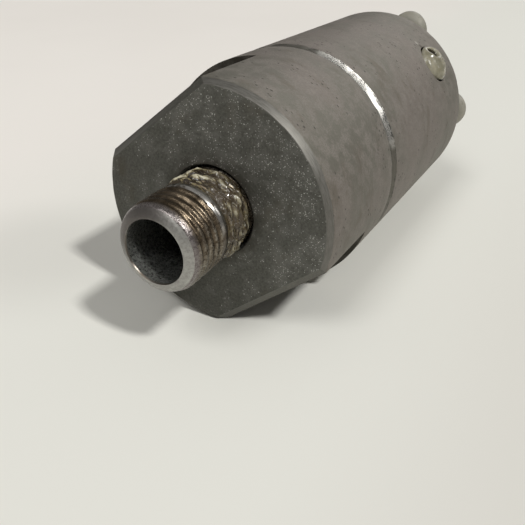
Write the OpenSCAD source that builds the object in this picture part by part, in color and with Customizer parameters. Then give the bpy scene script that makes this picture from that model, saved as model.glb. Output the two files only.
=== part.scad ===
// Pneumatic exhaust muffler: a turned steel housing in two screwed halves with a
// threaded inlet nipple, an absorbing stack inside and a moulded end cap at the rear.
// The axis lies along +Y, the inlet nipple points to -Y and +Z is up.
// The origin is the centre of the housing's flat front face.

/* [Housing] */
// Outer diameter of both housing halves
body_d = 38.5; // [37:0.1:42]
// Length of the housing from the front face to the rear face
body_length = 67.1; // [66:0.1:70]
// Distance from the front face to the seam between the halves
seam_y = 24.3; // [23.8:0.1:24.8]
// Width of the dark gap between the halves
seam_gap = 0.5; // [0.3:0.1:0.8]
// Axial length of the bevel on the front edge of the rear shell
seam_bevel_length = 1.9; // [0.8:0.1:2.5]
// Radial depth of that bevel
seam_bevel_depth = 0.45; // [0.2:0.05:0.8]
// Axial length of the chamfer round the front face
face_chamfer_length = 1.2; // [0.6:0.1:2]
// Radial depth of that chamfer
face_chamfer_depth = 0.65; // [0.3:0.05:1.2]
// Rounding of the rear rim, as a 45 degree chamfer
rear_chamfer = 0.4; // [0.2:0.05:0.8]

/* [Wrench flats] */
// Distance across the two wrench flats
flats_across = 32; // [30:0.5:35]
// Length of the flats from the front face
flats_length = 16.4; // [12:0.1:20]
// Clock angle of the lower flat seen from the front, from straight up towards +X
flats_angle = 142; // [0:1:359]
// Chamfer where a flat meets the front face
flats_chamfer = 1.1; // [0.5:0.1:1.6]

/* [Inlet] */
// Major diameter of the 1/4 inch pipe thread of the nipple
thread_d = 13.157; // [13:0.001:13.3]
// Length of the nipple in front of the housing
nipple_reach = 14; // [12:0.5:18]
// Length of the plain collar between the two threads of the nipple
collar_length = 1.6; // [1:0.1:2.5]
// Distance from the front face to the collar
collar_y = 5.2; // [4:0.1:6.5]
// Diameter of the air passage through the nipple
inlet_bore_d = 9.2; // [8:0.1:9.6]
// Diameter of the dark countersink round the nipple in the front face
countersink_d = 14.3; // [14:0.1:15]

/* [End cap] */
// Number of grip lobes round the end cap
lobe_count = 5; // [3:1:6]
// Clock angle of the first lobe
first_lobe_angle = 19; // [0:1:119]
// Radius of a lobe's round tip
lobe_r = 3.9; // [3.2:0.1:4.2]
// Radius of the end cap over its lobes
cap_reach = 19.6; // [19:0.1:20.4]
// Length of the end cap behind the housing
cap_length = 6.4; // [6:0.1:10]
// Number of slots in the exhaust grille
grille_slots = 10; // [6:2:12]
// Width of a grille slot
grille_slot_w = 2; // [1:0.1:2.2]

/* [Cap lock] */
// Clock angle of the pocket over the lock screw
lock_angle = 51.5; // [0:0.5:359]
// Distance of the pocket from the front face
lock_y = 57.4; // [57:0.1:58.6]
// Diameter of the pocket
pocket_d = 7.6; // [6:0.1:8]
// Height of the sealing compound above the housing
lock_crown = 0.85; // [0.3:0.05:1.2]

/* [Absorbing stack] */
// Outer diameter of the perforated centre tube
tube_d = 10; // [9:0.1:10.4]
// Diameter of the holes in the centre tube
tube_hole_d = 2; // [1:0.1:2.4]
// Number of holes in each ring round the centre tube
tube_holes = 6; // [4:1:8]
// Thickness of the baffle discs
baffle_t = 1.4; // [1:0.1:1.6]
// Number of holes in each baffle disc
baffle_holes = 10; // [6:1:12]
// Wire diameter of the spring that holds the stack together
spring_wire_d = 1.2; // [0.8:0.1:1.4]
// Number of turns of the stack spring
spring_turns = 2.5; // [2:0.5:3]

/* [Hidden] */
$fn = 96;

// Radial clearance of pieces that slide together, and axial clearance of faces that meet
slip = 0.05;
face_gap = 0.05;
// Overshoot of cutting shapes, so that no cut ends exactly on a face
over = 1;

body_r = body_d / 2;
thread_r = thread_d / 2;

// Inlet port, from the front face to the cavity
port_thread_r = thread_r + slip;
countersink_depth = 1;
nipple_inner_y = 10;
strainer_t = 1.9;
port_floor_y = nipple_inner_y + strainer_t + 2 * face_gap;
web_t = 2.2;
cavity_y = port_floor_y + web_t;
cavity_r = 14.2;

// Screwed joint of the halves
spigot_r = 16.6;
spigot_end_y = 32;
seal_groove_r = 14.95;
seal_groove_length = 1.9;
seal_wire_r = 0.8;
socket_r = spigot_r + slip;
shell_bore_r = 15.4;

// The stack, from the front baffle to the rear baffle
baffle_1_y = spigot_end_y + face_gap;
socket_floor_y = baffle_1_y + baffle_t + face_gap;
baffle_2_y = 40;
baffle_3_y = 47.2;
tube_r = tube_d / 2;
tube_wall = 0.8;
tube_end_y = 49.6;
absorber_r = 14.1;
spacer_wall = 1;
hole_ring_r = 8.4;
baffle_hole_r = 1.3;
seat_t = 0.8;

// End cap: a spigot in the shell's bore, and behind the housing a round wall with lobes
spigot_start_y = 55.4;
cap_gap = 0.2;
cap_y = body_length + cap_gap;
cap_end_y = cap_y + cap_length;
cap_bore_r = 12.5;
cap_wall_r = 16;
cap_edge = 0.8;
lobe_start_y = cap_y + 0.9;
lobe_end_y = cap_end_y - 1.1;
lobe_edge = 1.2;
lobe_centre_r = cap_reach - lobe_r;
cap_groove_r = 13.75;
cap_groove_y = 63;
cap_groove_length = 1.9;
grille_t = 2;
grille_y = cap_end_y - grille_t;
disc_t = 2.6;
disc_y = grille_y - face_gap - disc_t;
clip_t = 0.7;
clip_y = disc_y - face_gap - clip_t;
clip_groove_r = 13.1;

// Lock screw and its pocket
screw_r = 2;
screw_tip_r = 13.85;
pocket_floor_r = 17.8;

// Places a shape that is drawn along +Z on the axis of the muffler
module on_axis() {
    rotate([-90, 0, 0])
        children();
}

// Turns a shape round the axis to a clock angle, from straight up towards +X
module at_clock(angle) {
    rotate([0, 0, angle - 90])
        children();
}

// Plain ring or sleeve between two radii and two places along the axis
module sleeve(inner_r, outer_r, from_y, to_y) {
    rotate_extrude()
        translate([inner_r, from_y])
            square([outer_r - inner_r, to_y - from_y]);
}

// Solid disc or rod between two places along the axis
module rod(r, from_y, to_y) {
    translate([0, 0, from_y])
        cylinder(r = r, h = to_y - from_y);
}

// Round wire bent into a closed ring
module wire_ring(ring_r, wire_r, y) {
    translate([0, 0, y])
        rotate_extrude()
            translate([ring_r, 0])
                circle(r = wire_r, $fn = 32);
}

// Double ended nipple: front thread, plain collar, thread into the housing
module inlet_nipple() {
    tip_chamfer = 0.55;
    bore_chamfer = 0.3;
    bore_r = inlet_bore_d / 2;
    collar_r = thread_r - 0.25;
    rear_thread_r = thread_r - slip;
    color("dimgray")
        on_axis()
            rotate_extrude()
                polygon([
                    [bore_r + bore_chamfer, -nipple_reach],
                    [thread_r - tip_chamfer, -nipple_reach],
                    [thread_r, -nipple_reach + tip_chamfer],
                    [thread_r, -collar_y - collar_length],
                    [collar_r, -collar_y - collar_length],
                    [collar_r, -collar_y],
                    [rear_thread_r, -collar_y],
                    [rear_thread_r, nipple_inner_y - tip_chamfer],
                    [rear_thread_r - tip_chamfer, nipple_inner_y],
                    [bore_r, nipple_inner_y],
                    [bore_r, -nipple_reach + bore_chamfer],
                ]);
}

// Sealing compound wound over the rear thread, squeezed out of the countersink
module thread_sealant() {
    inner_r = thread_r + slip / 2;
    outer_r = countersink_d / 2 - 0.25;
    color("darkkhaki")
        on_axis()
            rotate_extrude()
                polygon([
                    [inner_r, -collar_y + 0.1],
                    [inner_r + 0.15, -collar_y + 0.1],
                    [outer_r, -3.4],
                    [outer_r, 0],
                    [inner_r + 0.05, 0.6],
                    [inner_r, 0.6],
                ]);
}

// Front half: face, wrench flats, inlet port, cavity and male spigot
module front_body() {
    flat_half = flats_across / 2;
    color("gray")
        on_axis()
            difference() {
                rotate_extrude()
                    polygon([
                        [countersink_d / 2, 0],
                        [body_r - face_chamfer_depth, 0],
                        [body_r, face_chamfer_length],
                        [body_r, seam_y],
                        [seal_groove_r, seam_y],
                        [seal_groove_r, seam_y + seal_groove_length],
                        [spigot_r, seam_y + seal_groove_length],
                        [spigot_r, spigot_end_y],
                        [cavity_r, spigot_end_y],
                        [cavity_r, cavity_y],
                        [tube_r + slip, cavity_y],
                        [tube_r + slip, port_floor_y],
                        [port_thread_r, port_floor_y],
                        [port_thread_r, countersink_depth],
                    ]);
                for (side = [0, 180])
                    at_clock(flats_angle + side)
                        wrench_flat_cut(flat_half);
            }
}

// Removes one segment outside a wrench flat, with the chamfer of its front edge
module wrench_flat_cut(flat_half) {
    translate([flat_half, -body_r, -over])
        cube([body_r, body_d, flats_length + over]);
    translate([flat_half, 0, 0])
        rotate([0, 45, 0])
            translate([-flats_chamfer / sqrt(2), -body_r, -body_r])
                cube([flats_chamfer * sqrt(2), body_d, body_d]);
}

// Sintered disc that keeps dirt out, trapped between the nipple and the port floor
module inlet_strainer() {
    color("peru")
        on_axis()
            rod(port_thread_r - slip, nipple_inner_y + face_gap, nipple_inner_y + face_gap + strainer_t);
}

// O-ring in the groove behind the front half's shoulder
module body_seal() {
    color("black")
        on_axis()
            wire_ring(seal_groove_r + seal_wire_r + slip / 2, seal_wire_r,
                seam_y + seal_groove_length / 2);
}

// Perforated centre tube, open at the inlet end
module diffuser_tube() {
    ring_pitch = 4;
    first_ring_y = cavity_y + 3.5;
    ring_count = floor((baffle_3_y - 2 - first_ring_y) / ring_pitch) + 1;
    color("silver")
        on_axis()
            difference() {
                sleeve(tube_r - tube_wall, tube_r, port_floor_y + face_gap, tube_end_y);
                for (ring = [0 : ring_count - 1])
                    for (hole = [0 : tube_holes / 2 - 1])
                        rotate([0, 90, (hole + (ring % 2) / 2) * 360 / tube_holes])
                            translate([-(first_ring_y + ring * ring_pitch), 0, -tube_r - over])
                                cylinder(r = tube_hole_d / 2, h = tube_d + 2 * over, $fn = 24);
            }
}

// Turned plug that closes the rear end of the centre tube
module tube_plug() {
    stem_length = 3.5;
    head_t = 1.3;
    head_r = tube_r + 0.6;
    head_y = tube_end_y + face_gap;
    color("silver")
        on_axis()
            union() {
                rod(tube_r - tube_wall - slip, head_y - stem_length, head_y + head_t / 2);
                rod(head_r, head_y, head_y + head_t);
            }
}

// Felt sleeve round the centre tube
module felt(from_y, to_y) {
    color("wheat")
        on_axis()
            sleeve(tube_r + slip, absorber_r, from_y + face_gap, to_y - face_gap);
}

module front_absorber() {
    felt(cavity_y, baffle_1_y);
}

module middle_absorber() {
    felt(baffle_1_y + baffle_t, baffle_2_y);
}

module rear_absorber() {
    felt(baffle_2_y + baffle_t, baffle_3_y);
}

// Disc with a centre hole for the tube and a ring of holes
module baffle(y, outer_r, turn) {
    color("lightgray")
        on_axis()
            difference() {
                sleeve(tube_r + slip, outer_r, y, y + baffle_t);
                for (i = [0 : baffle_holes - 1])
                    rotate([0, 0, turn + i * 360 / baffle_holes])
                        translate([hole_ring_r, 0, y - over])
                            cylinder(r = baffle_hole_r, h = baffle_t + 2 * over, $fn = 24);
            }
}

module front_baffle() {
    baffle(baffle_1_y, spigot_r, 0);
}

module middle_baffle() {
    baffle(baffle_2_y, shell_bore_r - slip, 180 / baffle_holes);
}

module rear_baffle() {
    baffle(baffle_3_y, shell_bore_r - slip, 0);
}

// Sleeve that keeps two baffles apart
module spacer(from_y, to_y) {
    outer_r = shell_bore_r - slip;
    color("silver")
        on_axis()
            sleeve(outer_r - spacer_wall, outer_r, from_y + face_gap, to_y - face_gap);
}

module front_spacer() {
    spacer(baffle_1_y + baffle_t, baffle_2_y);
}

module rear_spacer() {
    spacer(baffle_2_y + baffle_t, baffle_3_y);
}

// Points of an eight sided wire that follows a helix round the axis
function spring_point(turn, side, coil_r, wire_r, start_y, rise) =
    let (a = turn * 360, b = side * 45)
    [(coil_r + wire_r * cos(b)) * cos(a),
     (coil_r + wire_r * cos(b)) * sin(a),
     start_y + rise * turn + wire_r * sin(b)];

// Compression spring between the rear baffle and the spring seat
module stack_spring() {
    sides = 8;
    steps_per_turn = 24;
    coil_r = 12.3;
    wire_r = spring_wire_d / 2;
    start_y = baffle_3_y + baffle_t + face_gap + wire_r;
    end_y = spigot_start_y - seat_t - 2 * face_gap - wire_r;
    steps = spring_turns * steps_per_turn;
    rise = (end_y - start_y) / spring_turns;
    points = [for (i = [0 : steps], j = [0 : sides - 1])
        spring_point(i / steps_per_turn, j, coil_r, wire_r, start_y, rise)];
    walls = [for (i = [0 : steps - 1], j = [0 : sides - 1])
        let (k = (j + 1) % sides)
        [i * sides + j, i * sides + k, (i + 1) * sides + k, (i + 1) * sides + j]];
    start_cap = [for (j = [sides - 1 : -1 : 0]) j];
    end_cap = [for (j = [0 : sides - 1]) steps * sides + j];
    color("slategray")
        on_axis()
            polyhedron(points = points, faces = concat(walls, [start_cap, end_cap]));
}

// Flat washer that the spring presses against the end cap's spigot
module spring_seat() {
    inner_r = 10.6;
    color("silver")
        on_axis()
            sleeve(inner_r, shell_bore_r - slip, spigot_start_y - face_gap - seat_t,
                spigot_start_y - face_gap);
}

// Rear half: female socket, plain bore, and the pocket and hole of the lock screw
module rear_shell() {
    front_y = seam_y + seam_gap;
    bore_chamfer = 0.6;
    color("gray")
        on_axis()
            difference() {
                rotate_extrude()
                    polygon([
                        [socket_r, front_y],
                        [body_r - seam_bevel_depth, front_y],
                        [body_r, front_y + seam_bevel_length],
                        [body_r, body_length - rear_chamfer],
                        [body_r - rear_chamfer, body_length],
                        [shell_bore_r + bore_chamfer, body_length],
                        [shell_bore_r, body_length - bore_chamfer],
                        [shell_bore_r, socket_floor_y],
                        [socket_r, socket_floor_y],
                    ]);
                at_lock() {
                    rod(pocket_d / 2, pocket_floor_r, body_r + over);
                    rod(screw_r + slip, spigot_r - over - 2, body_r);
                }
            }
}

// Turns a shape that is drawn along +Z into the direction of the lock screw
module at_lock() {
    at_clock(lock_angle)
        translate([0, 0, lock_y])
            rotate([0, 90, 0])
                children();
}

// Moulded cap: grooved spigot, round wall with grip lobes, and a slotted exhaust grille
module end_cap() {
    spigot_outer_r = shell_bore_r - slip;
    tip_chamfer = 0.6;
    slot_inner_r = 3.5;
    slot_outer_r = 11.2;
    color("beige")
        on_axis()
            difference() {
                union() {
                    rotate_extrude()
                        polygon([
                            [cap_bore_r, spigot_start_y],
                            [spigot_outer_r - tip_chamfer, spigot_start_y],
                            [spigot_outer_r, spigot_start_y + tip_chamfer],
                            [spigot_outer_r, cap_groove_y],
                            [cap_groove_r, cap_groove_y],
                            [cap_groove_r, cap_groove_y + cap_groove_length],
                            [spigot_outer_r, cap_groove_y + cap_groove_length],
                            [spigot_outer_r, cap_y],
                            [cap_wall_r, cap_y],
                            [cap_wall_r, cap_end_y - cap_edge],
                            [cap_wall_r - cap_edge, cap_end_y],
                            [0, cap_end_y],
                            [0, grille_y],
                            [cap_bore_r, grille_y],
                            [cap_bore_r, clip_y + clip_t + face_gap],
                            [clip_groove_r, clip_y + clip_t + face_gap],
                            [clip_groove_r, clip_y - face_gap],
                            [cap_bore_r, clip_y - face_gap],
                        ]);
                    for (i = [0 : lobe_count - 1])
                        at_clock(first_lobe_angle + i * 360 / lobe_count)
                            grip_lobe();
                }
                at_lock()
                    rod(screw_r + slip, screw_tip_r - slip, body_r);
                for (i = [0 : grille_slots - 1])
                    rotate([0, 0, (i + 0.5) * 360 / grille_slots])
                        translate([slot_inner_r, -grille_slot_w / 2, grille_y - over])
                            cube([slot_outer_r - slot_inner_r, grille_slot_w, grille_t + 2 * over]);
            }
}

// One lobe: a short round post with chamfered ends, sunk into the cap's wall
module grip_lobe() {
    difference() {
        translate([lobe_centre_r, 0, 0])
            rotate_extrude($fn = 48)
                polygon([
                    [0, lobe_start_y],
                    [lobe_r - lobe_edge, lobe_start_y],
                    [lobe_r, lobe_start_y + lobe_edge],
                    [lobe_r, lobe_end_y - lobe_edge],
                    [lobe_r - lobe_edge, lobe_end_y],
                    [0, lobe_end_y],
                ]);
        rod(cap_wall_r - 1, lobe_start_y - over, lobe_end_y + over);
    }
}

// O-ring in the spigot's groove
module cap_seal() {
    wire_r = 0.8;
    color("black")
        on_axis()
            wire_ring((cap_groove_r + shell_bore_r) / 2, wire_r, cap_groove_y + cap_groove_length / 2);
}

// Sintered disc that the exhaust air leaves through, in front of the grille
module exhaust_disc() {
    color("peru")
        on_axis()
            rod(cap_bore_r - slip, disc_y, disc_y + disc_t);
}

// Open spring ring that holds the exhaust disc against the grille
module disc_clip() {
    inner_r = 11.2;
    gap_half_angle = 12;
    color("slategray")
        on_axis()
            difference() {
                sleeve(inner_r, clip_groove_r - slip, clip_y, clip_y + clip_t);
                translate([0, 0, clip_y - over])
                    linear_extrude(clip_t + 2 * over)
                        polygon([
                            [0, 0],
                            [body_r, -body_r * tan(gap_half_angle)],
                            [body_r, body_r * tan(gap_half_angle)],
                        ]);
            }
}

// Headless screw with a hexagon socket that locks the spigot in the shell
module cap_lock_screw() {
    socket_across = 2;
    socket_depth = 1.6;
    screw_end_r = pocket_floor_r - slip;
    color("slategray")
        on_axis()
            at_lock()
                difference() {
                    rod(screw_r, screw_tip_r, screw_end_r);
                    translate([0, 0, screw_end_r - socket_depth])
                        cylinder(r = socket_across / sqrt(3), h = socket_depth + over, $fn = 6);
                }
}

// Compound that fills the pocket over the lock screw and bulges out of it
module lock_sealant() {
    dome_r = 9;
    crown_r = body_r + lock_crown;
    edge_gap = 0.15;
    color("beige")
        on_axis()
            at_lock()
                intersection() {
                    rod(pocket_d / 2 - edge_gap, pocket_floor_r, crown_r + over);
                    translate([0, 0, crown_r - dome_r])
                        sphere(r = dome_r);
                }
}

inlet_nipple();
thread_sealant();
front_body();
inlet_strainer();
body_seal();
diffuser_tube();
tube_plug();
front_absorber();
front_baffle();
front_spacer();
middle_absorber();
middle_baffle();
rear_spacer();
rear_absorber();
rear_baffle();
stack_spring();
spring_seat();
rear_shell();
end_cap();
cap_seal();
exhaust_disc();
disc_clip();
cap_lock_screw();
lock_sealant();
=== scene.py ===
"""Pneumatic muffler: looks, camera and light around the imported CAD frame."""

import math

import bmesh
import bpy
from mathutils import Matrix, Vector, noise


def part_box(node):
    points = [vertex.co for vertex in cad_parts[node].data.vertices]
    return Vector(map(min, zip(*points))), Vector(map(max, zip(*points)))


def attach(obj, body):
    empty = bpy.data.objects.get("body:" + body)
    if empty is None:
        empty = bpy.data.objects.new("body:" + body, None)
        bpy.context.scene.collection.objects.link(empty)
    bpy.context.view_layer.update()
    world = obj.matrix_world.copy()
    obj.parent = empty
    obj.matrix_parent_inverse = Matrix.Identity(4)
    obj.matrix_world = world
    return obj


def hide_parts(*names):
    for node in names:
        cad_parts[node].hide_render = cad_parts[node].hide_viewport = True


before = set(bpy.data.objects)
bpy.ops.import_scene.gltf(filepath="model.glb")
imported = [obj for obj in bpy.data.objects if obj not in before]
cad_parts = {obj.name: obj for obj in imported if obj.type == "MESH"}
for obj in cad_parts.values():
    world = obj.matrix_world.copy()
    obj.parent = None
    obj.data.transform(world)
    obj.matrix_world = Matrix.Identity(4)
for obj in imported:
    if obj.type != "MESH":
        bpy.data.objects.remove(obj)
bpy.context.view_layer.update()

# Shapes are worked out in millimetres; objects are in metres.
MM = 0.001


# ---------------------------------------------------------------- sizes from the frame

def millimetres(node):
    """Lowest and highest corner of a CAD node, in millimetres."""
    low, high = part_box(node)
    return low / MM, high / MM


shell_low, shell_high = millimetres("rear_shell")
nipple_low, nipple_high = millimetres("inlet_nipple")
front_high = millimetres("front_body")[1]
cap_low, cap_high = millimetres("end_cap")
lock_low, lock_high = millimetres("lock_sealant")
lock_middle = (lock_low + lock_high) / 2

BODY_R = shell_high.x
BODY_END = shell_high.y
SHELL_START = shell_low.y
SEAM_GAP = 0.5
SEAM = SHELL_START - SEAM_GAP
FACE_CHAMFER = (0.65, 1.2)
SEAM_BEVEL = (0.45, 1.9)
FLAT_DISTANCE = 16.0
FLAT_LENGTH = 16.4
FLAT_CHAMFER = 1.1
FLAT_ANGLE = math.radians(142)
COUNTERSINK_R = 7.15
PORT_R = 6.63
PORT_FLOOR = 12.0
TUBE_SEAT_R = 5.05
CAVITY_R = 14.2
CAVITY_FLOOR = 14.2
SEAL_GROOVE = (15.0, 1.9)
SPIGOT_R = 16.6
SOCKET_R = 16.65
SOCKET_FLOOR = 33.5
SCREW_HOLE_R = 2.05
LOCK_CLOCK = math.atan2(lock_middle.x, lock_middle.z)
LOCK_Y = lock_middle.y
POCKET_R = 3.8
POCKET_FLOOR = 17.8
SHELL_BORE_R = 15.4
CAP_END = cap_high.y
CAP_START = cap_low.y
CAP_GAP = 0.2
CAP_WALL_R = 16.0
CAP_BORE_R = 12.5
# Grooves of the end cap as (bottom radius, start, end): for the disc's clip and for the seal.
CLIP_GROOVE = (13.1, 68.05, 68.85)
CAP_SEAL_GROOVE = (13.75, 63.0, 64.9)
LOBES = 5
LOBE_CLOCK = math.radians(19)
LOBE_R = 3.9
LOBE_CENTRE_R = 15.7
LOBE_Y = (BODY_END + 1.15, CAP_END - 1.05)
# How far each lobe's reach and place differ from the plain shape, in turn round the cap.
LOBE_WEAR = ((1.13, 0.30), (1.06, 0.10), (1.0, 0.0), (0.98, 0.1), (1.0, 0.0))
GRILLE_SLOTS = 10
NIPPLE_TIP = nipple_low.y
NIPPLE_END = nipple_high.y
THREAD_R = nipple_high.x
THREAD_PITCH = 1.337
THREAD_DEPTH = 0.856
INLET_R = 4.6
COLLAR = (-6.8, -5.2)
# Drop of the nipple per millimetre in front of the housing.
NIPPLE_LEAN = 0.033
# Bright specks of the front face, fine to coarse: cells per millimetre, size in a cell, share of
# the cells, strength.
SPECKS = ((4.2, 0.34, 0.85, 0.45), (2.4, 0.24, 0.74, 0.70), (1.1, 0.13, 0.50, 0.95))
# Smears of compound beside its pocket: place round and along from the pocket, size, colour.
SMEARS = ((-5.1, -0.6, 0.45, (0.330, 0.310, 0.280)), (-4.2, -0.2, 0.35, (0.050, 0.042, 0.030)))


# ---------------------------------------------------------------- node tree helpers

class Look:
    """One material, with short calls for its nodes. Values are sockets, numbers or tuples."""

    def __init__(self, name):
        self.material = bpy.data.materials.new(name)
        self.material.use_nodes = True
        self.tree = self.material.node_tree
        self.shader = self.tree.nodes["Principled BSDF"]
        position = self.add("ShaderNodeTexCoord").outputs["Object"]
        self.mm = self.add(
            "ShaderNodeVectorMath", {0: position, 3: 1 / MM}, operation="SCALE"
        ).outputs[0]
        parts = self.add("ShaderNodeSeparateXYZ", {0: self.mm})
        self.x, self.y, self.z = parts.outputs

    def put(self, socket, value):
        if isinstance(value, bpy.types.NodeSocket):
            self.tree.links.new(value, socket)
        else:
            socket.default_value = value

    def add(self, kind, inputs=None, **settings):
        node = self.tree.nodes.new(kind)
        for key, value in settings.items():
            setattr(node, key, value)
        for key, value in (inputs or {}).items():
            self.put(node.inputs[key], value)
        return node

    def math(self, operation, a, b=0.0, clamp=False):
        return self.add(
            "ShaderNodeMath", {0: a, 1: b}, operation=operation, use_clamp=clamp
        ).outputs[0]

    def vector(self, x, y, z):
        return self.add("ShaderNodeCombineXYZ", {0: x, 1: y, 2: z}).outputs[0]

    def stretched(self, around, along):
        """Coordinates with one scale across the axis and another along it, per millimetre."""
        return self.vector(
            self.math("MULTIPLY", self.x, around),
            self.math("MULTIPLY", self.y, along),
            self.math("MULTIPLY", self.z, around),
        )

    def radius(self):
        """Distance from the muffler's axis in millimetres."""
        flat = self.vector(self.x, 0.0, self.z)
        return self.add("ShaderNodeVectorMath", {0: flat}, operation="LENGTH").outputs[1]

    def rings(self, around, across):
        """Coordinates for concentric marks on a face across the axis."""
        r = self.math("MAXIMUM", self.radius(), 0.01)
        return self.vector(
            self.math("MULTIPLY", self.math("DIVIDE", self.x, r), around),
            self.math("MULTIPLY", r, across),
            self.math("MULTIPLY", self.math("DIVIDE", self.z, r), around),
        )

    def noise(self, scale, detail=3.0, roughness=0.55, vector=None, distortion=0.0):
        return self.add("ShaderNodeTexNoise", {
            "Vector": self.mm if vector is None else vector,
            "Scale": scale,
            "Detail": detail,
            "Roughness": roughness,
            "Distortion": distortion,
        }).outputs[0]

    def cells(self, scale, vector=None):
        return self.add("ShaderNodeTexVoronoi", {
            "Vector": self.mm if vector is None else vector,
            "Scale": scale,
        }, feature="F1")

    def steps(self, value, low, high, start=0.0, end=1.0):
        """value mapped from low..high to start..end, held at both ends."""
        return self.add("ShaderNodeMapRange", {
            0: value, 1: low, 2: high, 3: start, 4: end,
        }, interpolation_type="SMOOTHSTEP").outputs[0]

    def mix(self, factor, a, b):
        node = self.add("ShaderNodeMix", data_type="RGBA")
        self.put(node.inputs[0], factor)
        for index, value in ((6, a), (7, b)):
            if isinstance(value, tuple) and len(value) == 3:
                value = (*value, 1.0)
            self.put(node.inputs[index], value)
        return node.outputs[2]

    def bump(self, height, distance_mm, under=None, strength=1.0):
        inputs = {"Height": height, "Distance": distance_mm * MM, "Strength": strength}
        if under is not None:
            inputs["Normal"] = under
        return self.add("ShaderNodeBump", inputs).outputs[0]

    def finish(self, **sockets):
        """Sets the shader's sockets by name, such as base_color or roughness, and returns the material."""
        for key, value in sockets.items():
            if isinstance(value, tuple) and len(value) == 3 and key != "subsurface_radius":
                value = (*value, 1.0)
            self.put(self.shader.inputs[key.replace("_", " ").title().replace("Ior", "IOR")], value)
        return self.material


# ---------------------------------------------------------------- materials

def housing_side():
    """Satin steel gone brown-grey: soft blotches, close grain, small dark pits, a smear of compound."""
    k = Look("housing_side")
    turned = k.noise(1.0, 4.0, 0.6, k.stretched(0.12, 9.0))
    grain = k.noise(4.0, 4.0, 0.7)
    blotch = k.noise(0.085, 3.0, 0.55)
    cloud = k.noise(0.55, 4.0, 0.65)
    stain = k.noise(0.30, 4.0, 0.6, k.stretched(0.6, 1.0))
    steel = k.mix(k.steps(blotch, 0.36, 0.64), (0.139, 0.133, 0.109), (0.182, 0.158, 0.139))
    steel = k.mix(k.steps(cloud, 0.38, 0.64, 0.0, 0.56), steel, (0.264, 0.238, 0.215))
    steel = k.mix(k.steps(stain, 0.52, 0.72, 0.0, 0.55), steel, (0.106, 0.088, 0.062))
    steel = k.mix(k.steps(turned, 0.35, 0.70, 0.0, 0.12), steel, (0.300, 0.290, 0.270))
    steel = k.mix(k.steps(grain, 0.38, 0.64, 0.0, 0.46), steel, (0.112, 0.104, 0.086))
    pit_cells = k.cells(0.85, k.stretched(1.0, 1.35)).outputs["Distance"]
    by_face = k.steps(k.y, 7.0, 2.5, 0.0, 0.07)
    by_seam = k.steps(k.math("ABSOLUTE", k.math("SUBTRACT", k.y, SEAM)), 5.0, 1.5, 0.0, 0.07)
    crowd = k.math("ADD", k.noise(0.16, 2.0, 0.5), k.math("ADD", by_face, by_seam))
    pits = k.math("MULTIPLY", k.steps(pit_cells, 0.23, 0.12), k.steps(crowd, 0.50, 0.59))
    steel = k.mix(k.math("MULTIPLY", pits, 0.8), steel, (0.045, 0.040, 0.034))
    for around, along, size, tint in SMEARS:
        spot = on_circle(BODY_R, LOCK_Y + along, LOCK_CLOCK + around / BODY_R)
        away = k.add("ShaderNodeVectorMath", {0: k.mm, 1: tuple(spot)}, operation="DISTANCE").outputs[1]
        away = k.math("ADD", away, k.math("MULTIPLY", k.noise(1.6, 3.0, 0.6), 0.6))
        steel = k.mix(k.steps(away, size + 0.55, size, 0.0, 0.85), steel, tint)
    relief = k.bump(turned, 0.006)
    relief = k.bump(grain, 0.016, relief)
    relief = k.bump(pits, -0.08, relief)
    rough = k.steps(cloud, 0.3, 0.7, 0.58, 0.70)
    return k.finish(base_color=steel, metallic=0.55, roughness=rough, normal=relief)


def housing_face():
    """The darker flat front: close grain, sparkling specks and brown stains round the nipple."""
    k = Look("housing_face")
    grain = k.noise(2.6, 5.0, 0.75)
    fine = k.noise(7.0, 2.0, 0.7)
    stain = k.noise(0.16, 4.0, 0.6)
    rings = k.noise(1.0, 3.0, 0.6, k.rings(1.2, 2.4))
    dark = k.mix(k.steps(grain, 0.28, 0.72), (0.036, 0.036, 0.030), (0.118, 0.116, 0.100))
    dark = k.mix(k.steps(stain, 0.52, 0.72, 0.0, 0.60), dark, (0.058, 0.050, 0.033))
    dark = k.mix(k.steps(rings, 0.50, 0.78, 0.0, 0.25), dark, (0.155, 0.152, 0.140))
    grimy = k.steps(k.radius(), COUNTERSINK_R + 2.2, COUNTERSINK_R, 0.0, 0.65)
    dark = k.mix(grimy, dark, (0.034, 0.029, 0.020))
    # Lighter, with more bright specks, towards the upper right of the face.
    lean = k.math("ADD", k.math("MULTIPLY", k.x, 0.55), k.math("MULTIPLY", k.z, 0.55))
    cluster = k.noise(0.30, 3.0, 0.6)
    crowd = k.math("ADD", k.steps(lean, -9.0, 9.0, -0.30, 0.55), k.steps(cluster, 0.40, 0.62, -0.25, 0.75))
    dark = k.mix(k.math("MULTIPLY", crowd, 0.26, True), dark, (0.215, 0.213, 0.196))
    skin = dark
    for scale, size, share, tint in SPECKS:
        cells = k.cells(scale)
        near = k.steps(cells.outputs["Distance"], size, size * 0.35)
        colour = k.add("ShaderNodeSeparateColor", {0: cells.outputs["Color"]})
        favoured = k.math("MULTIPLY", crowd, share - 0.35)
        chosen = k.steps(k.math("ADD", colour.outputs[0], favoured), 0.93, 1.15)
        specks = k.math("MULTIPLY", near, chosen)
        skin = k.mix(k.math("MULTIPLY", specks, tint), skin, (0.92, 0.91, 0.86))
    relief = k.bump(grain, 0.030)
    relief = k.bump(fine, 0.015, relief)
    return k.finish(base_color=skin, metallic=0.55, roughness=k.steps(grain, 0.3, 0.7, 0.50, 0.66),
                    normal=relief)


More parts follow.
